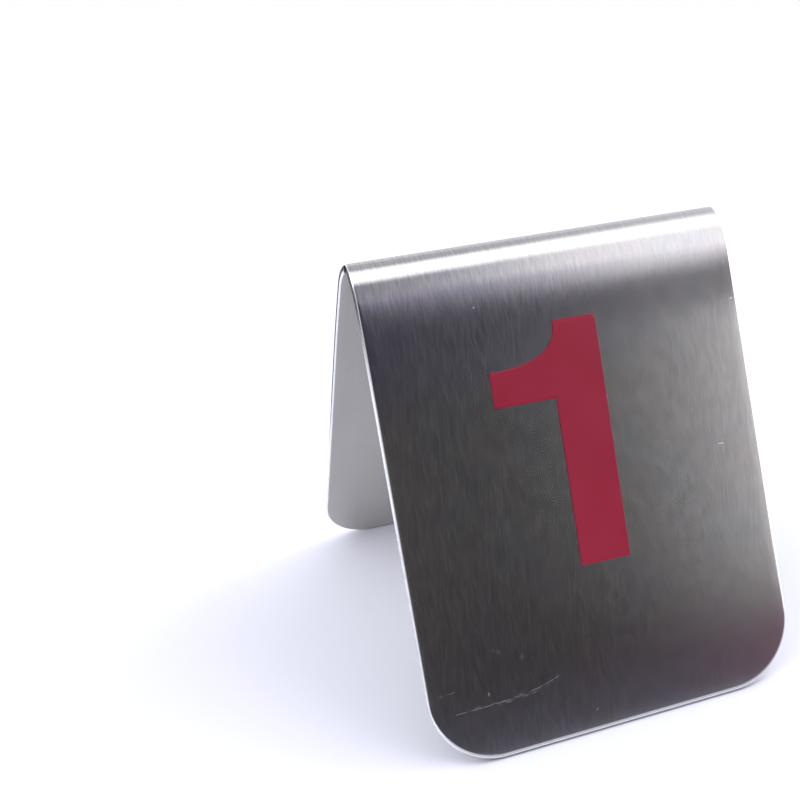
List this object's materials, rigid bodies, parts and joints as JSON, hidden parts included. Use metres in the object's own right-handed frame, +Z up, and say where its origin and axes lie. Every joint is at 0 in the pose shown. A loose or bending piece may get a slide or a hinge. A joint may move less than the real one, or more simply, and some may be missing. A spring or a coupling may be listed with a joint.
{
  "type": "table number holder",
  "caption": "Folded stainless steel tent with rounded corners that stands on a table and shows a vinyl numeral on each leg.",
  "frame": {"origin": "middle of the footprint, on the surface the holder stands on", "axes": "+X along the ridge, to the right as the front number is read; +Y from the front leg's foot to the back leg's foot; +Z up"},
  "size_m": [0.05, 0.0556, 0.0563],
  "materials": {
    "brushed_stainless": "stainless steel sheet, outer faces brushed straight up and down the legs, inner faces left smooth and matt as rolled, edges rounded over and bright",
    "crimson_vinyl": "thin self-adhesive film in one flat crimson, low sheen, die-cut edge"
  },
  "bodies": {
    "root": {"folded_plate": "brushed_stainless", "front_numeral": "crimson_vinyl", "back_numeral": "crimson_vinyl"}
  },
  "joints": []
}
